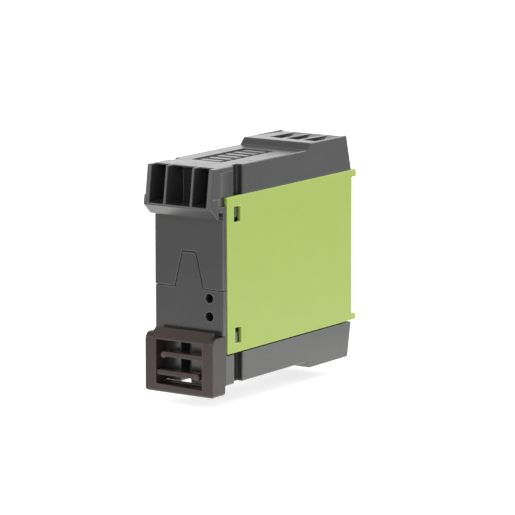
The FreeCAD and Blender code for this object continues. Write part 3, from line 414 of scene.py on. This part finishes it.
def rubbed_edge(tree, reach):
    """1 along the outer edges, painted pale as rubbed wear and as a painted highlight, 0
    elsewhere.
    """
    node = tree.nodes.new("ShaderNodeAmbientOcclusion")
    node.inside = True
    node.only_local = True
    node.samples = 8
    node.inputs["Distance"].default_value = reach * RUB_HIGHLIGHT_REACH
    return spread(tree, node.outputs["AO"], 1.0, 0.0, *RUB_HIGHLIGHT_FADE)


def moulded_plastic(name, colour, roughness, grain=2600.0, depth=0.000012, cloud=0.12,
                    edge=None, rub_and_highlight=None, gloss=0.5):
    """Moulded plastic: eroded grain, faint flow clouds, uneven gloss and pale edges, partly
    rubbed wear and partly a painted highlight.
    """
    material, tree, shader = new_finish(name)
    where = place_socket(tree)
    clouds = noise(tree, where, PLASTIC_CLOUDS, detail=4.0, roughness=0.6)
    surface = cloudy(tree, clouds, shade(colour, 1.0 - cloud), shade(colour, 1.0 + cloud))
    # Outer edges painted paler: partly rubbed wear, partly a painted highlight.
    if rub_and_highlight:
        surface = between(tree, rubbed_edge(tree, edge), surface, shade(colour, rub_and_highlight))
    link(tree, surface, shader.inputs["Base Color"])
    patches = noise(tree, where, PLASTIC_PATCHES, roughness=0.6)
    uneven_gloss(tree, shader, patches, roughness, PLASTIC_UNEVEN)
    fine = noise(tree, where, grain, detail=2.0, roughness=0.5)
    below = rounded_edge(tree, edge) if edge else None
    link(tree, raised(tree, fine, depth, strength=0.6, below=below), shader.inputs["Normal"])
    shader.inputs["Specular IOR Level"].default_value = gloss
    return material


def plated_metal(name, colour, roughness, stretch=(1.0, 1.0, 1.0)):
    """Drawn or plated metal with fine scratches one way and a cloudy lustre."""
    material, tree, shader = new_finish(name)
    shader.inputs["Metallic"].default_value = 1.0
    clouds = noise(tree, place_socket(tree), METAL_CLOUDS, roughness=0.6)
    link(tree, cloudy(tree, clouds, shade(colour, METAL_DARK), colour),
         shader.inputs["Base Color"])
    scratches = noise(tree, place_socket(tree, stretch), METAL_SCRATCHES, roughness=0.6)
    uneven_gloss(tree, shader, scratches, roughness, METAL_UNEVEN)
    link(tree, raised(tree, scratches, SCRATCH_DEPTH, strength=0.5,
                      below=rounded_edge(tree, METAL_EDGE)), shader.inputs["Normal"])
    return material


def clear_plastic(name, colour, roughness=0.18):
    """Tinted see-through plastic of a light or its pipe, a little cloudy inside."""
    material, tree, shader = new_finish(name)
    where = place_socket(tree)
    clouds = noise(tree, where, LENS_CLOUDS, detail=2.0, roughness=0.5)
    link(tree, cloudy(tree, clouds, shade(colour, LENS_DARK), colour),
         shader.inputs["Base Color"])
    uneven_gloss(tree, shader, noise(tree, where, LENS_PATCHES), roughness, LENS_UNEVEN)
    shader.inputs["Transmission Weight"].default_value = 0.55
    shader.inputs["IOR"].default_value = 1.49
    return material


def board_finish(name, colour):
    """Circuit board: solder resist over copper runs, a little raised and paler."""
    material, tree, shader = new_finish(name)
    where = place_socket(tree)
    runs = tree.nodes.new("ShaderNodeTexBrick")
    runs.inputs["Scale"].default_value = BOARD_RUNS
    runs.inputs["Mortar Size"].default_value = RUN_GAP
    for place, factor in RUN_SHADES:
        runs.inputs[place].default_value = (*shade(colour, factor), 1.0)
    link(tree, where, runs.inputs["Vector"])
    link(tree, runs.outputs["Color"], shader.inputs["Base Color"])
    uneven_gloss(tree, shader, noise(tree, where, BOARD_PATCHES), BOARD_ROUGHNESS,
                 BOARD_UNEVEN)
    link(tree, raised(tree, runs.outputs["Fac"], RUN_HEIGHT, strength=0.5),
         shader.inputs["Normal"])
    return material


def dress(node_name, material):
    """A node that keeps its own shape takes a finish."""
    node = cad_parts[node_name]
    if not node.material_slots:
        raise RuntimeError(f"{node_name} has no place for a finish")
    for place in node.material_slots:
        place.link = "OBJECT"
        place.material = material


def add_piece(name, mesh, body, material):
    """A new piece from a mesh, on its body, with its finish."""
    piece = bpy.data.objects.new(name, mesh)
    bpy.context.scene.collection.objects.link(piece)
    mesh.materials.clear()
    mesh.materials.append(material)
    if body:
        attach(piece, body)
    return piece


def mesh_from(name, bm):
    """A mesh from one that was being built, which ends here."""
    mesh = bpy.data.meshes.new(name)
    bm.to_mesh(mesh)
    bm.free()
    return mesh


def softened_copy(node_name, radius):
    """The node's shape as one closed mesh, with a weight on each edge that can be rounded."""
    bm = bmesh.new()
    bm.from_mesh(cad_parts[node_name].data)
    bmesh.ops.remove_doubles(bm, verts=bm.verts, dist=WELD)
    bmesh.ops.dissolve_degenerate(bm, dist=SLIVER, edges=bm.edges)
    bmesh.ops.dissolve_limit(bm, angle_limit=SAME_FACE, verts=bm.verts, edges=bm.edges,
                             use_dissolve_boundaries=False)
    weights = bm.edges.layers.float.new("bevel_weight_edge")
    crisp = {edge for edge in bm.edges if is_crisp(edge)}
    for edge in bm.edges:
        edge.smooth = edge not in crisp
    across = {edge: room_across(edge) for edge in crisp}
    rounded = set()
    for share in ROUNDING_SHARES:
        added = {edge for edge in crisp - rounded if across[edge] >= radius * share}
        tight = added
        while tight:
            tight = {edge for edge in added
                     if room_beside(edge, rounded | added) < radius * share}
            added = added - tight
        for edge in added:
            edge[weights] = share
        rounded |= added
    for face in bm.faces:
        face.smooth = True
    return mesh_from(node_name + "_moulding", bm)


def is_crisp(edge):
    """An edge between two faces at an angle, not one between the steps of a curved face."""
    if len(edge.link_faces) != 2:
        return True
    angle = edge.calc_face_angle(0.0)
    if angle > CRISP_ANGLE:
        return True
    breadths = [2.0 * face.calc_area() / face.calc_perimeter() for face in edge.link_faces]
    return angle > FLAT_ANGLE and min(breadths) > BROAD_FACE


def room_beside(edge, rounded):
    """The largest radius that an edge can take before its rounding reaches too far along."""
    room = edge.calc_length() * ROOM_SHARE
    for loop in edge.link_loops:
        for beside, corner in ((loop.link_loop_prev, loop.vert),
                               (loop.link_loop_next, loop.link_loop_next.vert)):
            other = beside.edge
            along = edge.other_vert(corner).co - corner.co
            across = other.other_vert(corner).co - corner.co
            angle = along.angle(across, 0.0)
            length = other.calc_length() * ROOM_SHARE
            if other in rounded:
                room = min(room, length * math.tan(min(angle, WIDEST_CORNER) / 2.0))
            elif math.sin(angle) < LEAST_SLANT:
                return 0.0
            else:
                room = min(room, length * math.sin(angle))
    return room


def room_across(edge):
    """Half the way from an edge to the nearest other edge of its faces."""
    nearest = math.inf
    for face in edge.link_faces:
        for other in face.edges:
            if other is edge or set(edge.verts) & set(other.verts):
                continue
            nearest = min([nearest]
                          + [distance_to(vert.co, other) for vert in edge.verts]
                          + [distance_to(vert.co, edge) for vert in other.verts])
    return nearest * ROOM_SHARE


def distance_to(point, edge):
    """How far a point lies from the nearest point of an edge."""
    start, end = (vert.co for vert in edge.verts)
    foot, share = intersect_point_line(point, start, end)
    if share <= 0.0:
        return (point - start).length
    if share >= 1.0:
        return (point - end).length
    return (point - foot).length


def round_off(piece, radius):
    """Round the weighted edges and keep the faces between them flat."""
    bevel = piece.modifiers.new("rounded edges", "BEVEL")
    bevel.width = radius
    bevel.segments = ROUNDING_STEPS
    bevel.limit_method = "WEIGHT"
    bevel.use_clamp_overlap = False
    bevel.miter_outer = "MITER_ARC"
    flatter = piece.modifiers.new("flat faces", "WEIGHTED_NORMAL")
    flatter.mode = "FACE_AREA"
    flatter.keep_sharp = True


def moulded_shell(node_name, body, material, radius):
    """A moulded piece that stands for its node, with rounded edges."""
    shell = add_piece(node_name + "_moulding", softened_copy(node_name, radius), body,
                      material)
    round_off(shell, radius)
    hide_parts(node_name)
    return shell


def round_edges(bm, edges, radius):
    """Round edges of a shape that is being built."""
    bmesh.ops.bevel(bm, geom=list(edges), offset=radius, offset_type="OFFSET",
                    segments=RIM_STEPS, profile=0.5, affect="EDGES", material=-1)


def rounded_block(bm, low, high, radius):
    """A block between two corners with rounded edges."""
    middle = (low + high) / 2
    made = bmesh.ops.create_cube(bm, size=1.0, matrix=Matrix.Translation(middle)
                                 @ Matrix.Diagonal((*(high - low), 1.0)))
    round_edges(bm, {edge for vert in made["verts"] for edge in vert.link_edges}, radius)


def rounded_rod(bm, centre, radius, near, far, edge, sides):
    """A rod along Y with rounded rims."""
    place = Matrix.Translation((centre.x, (near + far) / 2, centre.z))
    made = bmesh.ops.create_cone(bm, cap_ends=True, cap_tris=False, segments=sides,
                                 radius1=radius, radius2=radius, depth=far - near,
                                 matrix=place @ Matrix.Rotation(math.pi / 2, 4, "X"))
    rims = {rim for vert in made["verts"] for rim in vert.link_edges
            if abs(rim.verts[0].co.y - rim.verts[1].co.y) < edge / 10}
    round_edges(bm, rims, edge)


def spring_bar(node_name, root_side, material):
    """A spring bar from the latch at its root to its knob at the housing, cut into steps along
    it.
    """
    size = sizes()
    low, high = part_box(node_name)
    knob = (high.z - low.z) / 2
    end_x, root_x = (low.x, high.x) if root_side > 0 else (high.x, low.x)
    knob_x = end_x + knob * root_side
    centre = Vector((knob_x, 0.0, low.z + knob))
    back = low.y + size.spring_depth
    bm = bmesh.new()
    rounded_block(bm, Vector((min(knob_x, root_x), low.y + KNOB_STEP,
                              high.z - size.spring_height)),
                  Vector((max(knob_x, root_x), back - KNOB_STEP, high.z)), size.spring_edge)
    for step in range(1, size.spring_steps):
        x = knob_x + (root_x - knob_x) * step / size.spring_steps
        bmesh.ops.bisect_plane(bm, geom=list(bm.verts) + list(bm.edges) + list(bm.faces),
                               plane_co=(x, 0.0, 0.0), plane_no=(1.0, 0.0, 0.0))
    rounded_rod(bm, centre, knob, low.y, back, size.spring_edge, KNOB_SIDES)
    rounded_rod(bm, centre, size.spring_pin, back - PIN_ROOT, high.y, size.spring_edge / 2,
                PIN_SIDES)
    for face in bm.faces:
        face.smooth = True
    for edge in bm.edges:
        edge.smooth = edge.calc_face_angle(0.0) < BAR_CRISP
    bar = add_piece(node_name + "_bar", mesh_from(node_name + "_bar", bm), None,
                    material)
    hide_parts(node_name)
    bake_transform(bar)


def on_front(angle, distance, axis, face):
    """A point on the front panel at a clockwise angle from the top of an adjuster."""
    return Vector((axis.x - math.sin(angle) * distance, face,
                   axis.z + math.cos(angle) * distance))


def mark_bar(bm, angle, inner, outer, width, axis, face, ink):
    """One dial mark: a thin raised bar that points at the adjuster's axis."""
    along = on_front(angle, 1.0, axis, face) - on_front(angle, 0.0, axis, face)
    across = along.cross(Vector((0.0, 1.0, 0.0))).normalized() * (width / 2)
    ends = [on_front(angle, inner, axis, face), on_front(angle, outer, axis, face)]
    rim = [bm.verts.new(p) for p in (ends[0] - across, ends[0] + across,
                                     ends[1] + across, ends[1] - across)]
    raise_ink(bm, [bm.faces.new(rim)], ink)


def raise_ink(bm, faces, ink):
    """Give flat marks the thickness of the ink."""
    grown = bmesh.ops.extrude_face_region(bm, geom=faces)
    bmesh.ops.translate(bm, vec=(0.0, ink, 0.0),
                        verts=[p for p in grown["geom"] if isinstance(p, bmesh.types.BMVert)])


def mark_arc(bm, first, last, inner, axis, face, ink):
    """An arc round an adjuster that grows from a line to its full width."""
    rows = []
    for step in range(ARC_STEPS + 1):
        share = step / ARC_STEPS
        angle = first + (last - first) * share
        outer = inner + ARC_WIDTH * max(share, ARC_START)
        rows.append([bm.verts.new(on_front(angle, distance, axis, face))
                     for distance in (inner, outer)])
    faces = [bm.faces.new((a[0], a[1], b[1], b[0])) for a, b in zip(rows, rows[1:])]
    raise_ink(bm, faces, ink)


def number_mesh(text, height, ink):
    """A number as a flat raised mesh, centred on its own middle."""
    curve = bpy.data.curves.new("number", "FONT")
    curve.body = text
    curve.size = height
    curve.align_x = "CENTER"
    curve.align_y = "CENTER"
    curve.extrude = ink / 2
    curve.resolution_u = 3
    carrier = bpy.data.objects.new("number", curve)
    bpy.context.scene.collection.objects.link(carrier)
    bpy.context.view_layer.update()
    mesh = bpy.data.meshes.new_from_object(carrier)
    bpy.data.objects.remove(carrier)
    bpy.data.curves.remove(curve)
    return mesh


def dial(knob, turn, labels, arc, material):
    """The printed marks and labels round one adjuster, from one end of its turn to the other."""
    size = sizes()
    last = len(labels) - 1
    angles = [math.radians(turn * (2 * place - last) / last) for place in range(last + 1)]
    low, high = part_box(knob)
    axis = (low + high) / 2
    face = panel_face()
    bm = bmesh.new()
    for angle in angles:
        mark_bar(bm, angle, size.mark_inner, size.mark_outer, size.mark_width, axis, face,
                 size.ink)
    if arc:
        mark_arc(bm, angles[0], angles[-1], size.mark_inner, axis, face, size.ink)
    bmesh.ops.recalc_face_normals(bm, faces=bm.faces)
    facing = Matrix(((-1.0, 0.0, 0.0), (0.0, 0.0, 1.0), (0.0, 1.0, 0.0))).to_4x4()
    for angle, label in zip(angles, labels):
        number = number_mesh(label, size.number_height, size.ink)
        ring = size.number_ring + LABEL_SHIFT * (len(label) - 1) * abs(math.sin(angle))
        centre = on_front(angle, ring, axis, face + size.ink / 2)
        number.transform(Matrix.Translation(centre) @ facing)
        bm.from_mesh(number)
        bpy.data.meshes.remove(number)
    name = knob.replace("_knob", "_dial_marks")
    add_piece(name, mesh_from(name, bm), "housing", material)


def panel_face():
    """Where the front panel's outer face lies along Y: the bars beside it stand further out."""
    heights = {}
    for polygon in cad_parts["front_cover"].data.polygons:
        if polygon.normal.y > LOOKS_FORWARD and abs(polygon.center.z) < PANEL_HALF:
            key = round(polygon.center.y, 5)
            heights[key] = heights.get(key, 0.0) + polygon.area
    return max(heights, key=heights.get)


class RELAY_OT_housing(Operator):
    """Dress the two halves of the dark housing"""

    bl_idname = "relay.housing"
    bl_label = "Housing"

    def execute(self, context):
        plastic = moulded_plastic("housing moulding", colours().housing, roughness=0.22,
                                  depth=0.000004, cloud=0.1, edge=sizes().housing_edge,
                                  rub_and_highlight=2.6)
        for node_name in ("upper_housing", "lower_housing"):
            moulded_shell(node_name, "housing", plastic,
                          sizes().housing_edge)
        return {"FINISHED"}


class RELAY_OT_cover(Operator):
    """Dress the lime green cover"""

    bl_idname = "relay.cover"
    bl_label = "Cover"

    def execute(self, context):
        plastic = moulded_plastic("cover moulding", colours().cover, roughness=0.42,
                                  depth=0.000012, cloud=0.02, edge=sizes().cover_edge,
                                  rub_and_highlight=1.5)
        shell = moulded_shell("front_cover", "housing", plastic,
                              sizes().cover_edge)
        self.open_joint(shell.data.vertices, sizes().cover_joint)
        return {"FINISHED"}

    def open_joint(self, points, gap):
        """A fine open joint under the skirt and behind its lower half."""
        rear = min(point.co.y for point in points)
        rim = [point for point in points if point.co.y < rear + gap / 10]
        foot = min(point.co.z for point in rim)
        for point in rim:
            if point.co.z < 0.0:
                point.co.y += gap
        for point in points:
            if abs(point.co.z - foot) < gap / 10:
                point.co.z += gap


class RELAY_OT_latch(Operator):
    """Dress the rail latch and make its two spring bars"""

    bl_idname = "relay.latch"
    bl_label = "Latch"

    def execute(self, context):
        plastic = moulded_plastic("latch moulding", colours().latch, roughness=0.3,
                                  depth=0.00001, cloud=0.1, gloss=0.3,
                                  edge=sizes().latch_edge, rub_and_highlight=1.7)
        moulded_shell("rail_latch", "latch", plastic, sizes().latch_edge)
        spring_bar("upper_spring_arm", 1.0, plastic)
        spring_bar("lower_spring_arm", -1.0, plastic)
        return {"FINISHED"}


class RELAY_OT_adjusters(Operator):
    """Dress the adjusters and print the dials round them"""

    bl_idname = "relay.adjusters"
    bl_label = "Adjusters and dials"

    def execute(self, context):
        knob_plastic = moulded_plastic("adjuster moulding", colours().knob, roughness=0.38,
                                       depth=0.000008, cloud=0.04, edge=0.00015)
        for knob in KNOBS:
            dress(knob, knob_plastic)
        ink = moulded_plastic("dial ink", colours().marks, roughness=0.6, grain=5200.0,
                              depth=0.000002, cloud=0.15)
        dial("range_knob", STEP_TURN, RANGES, False, ink)
        dial("time_knob", SCALE_TURN, SCALE, True, ink)
        dial("function_knob", STEP_TURN, FUNCTIONS, False, ink)
        return {"FINISHED"}


class RELAY_OT_lights(Operator):
    """Dress the two lights and their light pipes"""

    bl_idname = "relay.lights"
    bl_label = "Lights"

    def execute(self, context):
        for lamp, colour in (("power_light", colours().power_light),
                             ("output_light", colours().output_light)):
            dress(lamp, clear_plastic(lamp + " lens", colour))
            pale = tuple(PIPE_GREY + PIPE_TINT * part for part in colour)
            dress(lamp + "_pipe", clear_plastic(lamp + " pipe", pale, 0.14))
        return {"FINISHED"}


class RELAY_OT_terminals(Operator):
    """Dress the terminal screws, their cages and the busbars"""

    bl_idname = "relay.terminals"
    bl_label = "Terminals"

    def execute(self, context):
        screw = plated_metal("zinc plated screw", (0.72, 0.72, 0.7), 0.3)
        cage = plated_metal("zinc plated cage", (0.66, 0.67, 0.66), 0.36, DRAWN)
        brass = plated_metal("tinned brass", (0.78, 0.66, 0.38), 0.34, DRAWN)
        for place in TERMINALS:
            dress("terminal_screw_" + place, screw)
            dress("clamp_cage_" + place, cage)
            dress("busbar_" + place, brass)
        return {"FINISHED"}


class RELAY_OT_boards(Operator):
    """Dress the circuit boards and what they carry"""

    bl_idname = "relay.boards"
    bl_label = "Boards and components"

    def execute(self, context):
        board = board_finish("solder resist", colours().board)
        dress("main_board", board)
        dress("front_board", board)
        dress("output_relay", moulded_plastic("relay case", (0.74, 0.74, 0.7), 0.3, edge=0.0003,
                                              cloud=0.03, depth=0.000005))
        black = moulded_plastic("component case", (0.03, 0.03, 0.032), 0.42, edge=0.0001)
        for node_name in ("timer_chip", "bridge_rectifier"):
            dress(node_name, black)
        dress("dropper_capacitor", moulded_plastic("film case", (0.5, 0.36, 0.05), 0.34,
                                                   edge=0.0002))
        dress("surge_suppressor", moulded_plastic("suppressor coating", (0.04, 0.1, 0.28), 0.35,
                                                  edge=0.0003))
        dress("smoothing_capacitor", plated_metal("capacitor can", (0.75, 0.75, 0.77), 0.28))
        switch = moulded_plastic("switch case", (0.05, 0.07, 0.1), 0.4, edge=0.00012)
        for node_name in ("range_switch", "time_potentiometer", "function_switch"):
            dress(node_name, switch)
        return {"FINISHED"}


class RELAY_OT_stage(Operator):
    """Lay the floor, hang the lamps and set the camera"""

    bl_idname = "relay.stage"
    bl_label = "Stage"

    def execute(self, context):
        stage = context.scene.relay_stage
        self.lay_floor(stage)
        powers = (stage.key_power, stage.rim_power, stage.back_power)
        for (name, place, size), power in zip(LAMPS, powers):
            self.hang_lamp(name, place, size, power)
        self.surround(context.scene, stage)
        self.set_camera(context.scene)
        context.scene.view_settings.view_transform = "Standard"
        return {"FINISHED"}

    def lay_floor(self, stage):
        """A pale floor that keeps the relay's shadow."""
        bm = bmesh.new()
        bmesh.ops.create_grid(bm, x_segments=1, y_segments=1, size=stage.floor_size / 2)
        bmesh.ops.translate(bm, verts=bm.verts, vec=(0.0, 0.0, cad_box[0][2] - stage.floor_gap))
        mesh = mesh_from("floor", bm)
        mesh.materials.append(self.floor_finish(stage))
        floor = bpy.data.objects.new("floor", mesh)
        bpy.context.scene.collection.objects.link(floor)

    def floor_finish(self, stage):
        """Nearly white, lifted for the camera and glowing near the relay in its gloss."""
        material, tree, shader = new_finish("pale floor")
        clouds = noise(tree, place_socket(tree), FLOOR_CLOUDS)
        link(tree, cloudy(tree, clouds, *FLOOR_WHITES), shader.inputs["Base Color"])
        shader.inputs["Roughness"].default_value = 0.9
        shader.inputs["Specular IOR Level"].default_value = 0.1
        shader.inputs["Emission Color"].default_value = (1.0, 1.0, 1.0, 1.0)
        distance = tree.nodes.new("ShaderNodeVectorMath")
        distance.operation = "LENGTH"
        link(tree, place_socket(tree, shift=GLOW_SHIFT), distance.inputs[0])
        glow = spread(tree, distance.outputs["Value"], stage.floor_glow, stage.floor_far,
                      *GLOW_REACH)
        path = tree.nodes.new("ShaderNodeLightPath")
        in_gloss = combined(tree, "MULTIPLY", path.outputs["Is Glossy Ray"], glow)
        strength = combined(tree, "MULTIPLY_ADD", path.outputs["Is Camera Ray"],
                            stage.floor_lift, in_gloss)
        link(tree, strength, shader.inputs["Emission Strength"])
        return material

    def hang_lamp(self, name, place, size, power):
        """A square soft lamp that looks at the relay."""
        lamp = bpy.data.lights.new(name, "AREA")
        lamp.shape = "SQUARE"
        lamp.size = size
        lamp.energy = power
        carrier = bpy.data.objects.new(name, lamp)
        carrier.location = place
        aim = LAMP_AIM - Vector(place)
        carrier.rotation_euler = aim.to_track_quat("-Z", "Y").to_euler()
        bpy.context.scene.collection.objects.link(carrier)

    def surround(self, scene, stage):
        """White surroundings that light the relay evenly from all round."""
        world = bpy.data.worlds.new("studio")
        scene.world = world
        world.use_nodes = True
        tree = world.node_tree
        background = tree.nodes["Background"]
        background.inputs["Color"].default_value = (1.0, 1.0, 1.0, 1.0)
        level = tree.nodes.new("ShaderNodeMapRange")
        level.inputs["To Min"].default_value = stage.ambient
        link(tree, seen_directly(tree), level.inputs["Value"])
        link(tree, level.outputs["Result"], background.inputs["Strength"])

    def set_camera(self, scene):
        """The camera where the photograph was taken from."""
        lens = bpy.data.cameras.new("photo camera")
        lens.lens = CAMERA_LENS
        lens.sensor_width = SENSOR_WIDTH
        lens.clip_start, lens.clip_end = CAMERA_CLIP
        camera = bpy.data.objects.new("photo camera", lens)
        camera.location = CAMERA_PLACE
        camera.rotation_euler = Euler(CAMERA_TURN)
        scene.collection.objects.link(camera)
        scene.camera = camera


def seen_directly(tree):
    """1 for a ray that shows the surroundings: from the camera, in a gloss or through plastic."""
    path = tree.nodes.new("ShaderNodeLightPath")
    value = path.outputs["Is Camera Ray"]
    for kind in ("Is Glossy Ray", "Is Transmission Ray"):
        value = combined(tree, "MAXIMUM", value, path.outputs[kind])
    return value


OPERATORS = (RELAY_OT_housing, RELAY_OT_cover, RELAY_OT_latch, RELAY_OT_adjusters,
             RELAY_OT_lights, RELAY_OT_terminals, RELAY_OT_boards, RELAY_OT_stage)


class RELAY_PT_panel(Panel):
    """The relay's colours, sizes and steps"""

    bl_idname = "RELAY_PT_panel"
    bl_label = "Timer Relay"
    bl_space_type = "VIEW_3D"
    bl_region_type = "UI"
    bl_category = "Relay"

    def draw(self, context):
        layout = self.layout
        scene = context.scene
        for group in (scene.relay_colours, scene.relay_sizes, scene.relay_stage):
            box = layout.box()
            for key in group.__annotations__:
                box.prop(group, key)
        for operator in OPERATORS:
            layout.operator(operator.bl_idname)


GROUPS = (RelayColours, RelaySizes, RelayStage)


def register():
    """Add the panel, its steps and its values."""
    for item in GROUPS + OPERATORS + (RELAY_PT_panel,):
        bpy.utils.register_class(item)
    bpy.types.Scene.relay_colours = PointerProperty(type=RelayColours)
    bpy.types.Scene.relay_sizes = PointerProperty(type=RelaySizes)
    bpy.types.Scene.relay_stage = PointerProperty(type=RelayStage)


def unregister():
    """Take the panel, its steps and its values away again."""
    del bpy.types.Scene.relay_stage
    del bpy.types.Scene.relay_sizes
    del bpy.types.Scene.relay_colours
    for item in reversed(GROUPS + OPERATORS + (RELAY_PT_panel,)):
        bpy.utils.unregister_class(item)


def main():
    """Dress the whole relay, one step after the other."""
    register()
    bpy.ops.relay.housing()
    bpy.ops.relay.cover()
    bpy.ops.relay.latch()
    bpy.ops.relay.adjusters()
    bpy.ops.relay.lights()
    bpy.ops.relay.terminals()
    bpy.ops.relay.boards()
    bpy.ops.relay.stage()


if __name__ == "__main__":
    main()
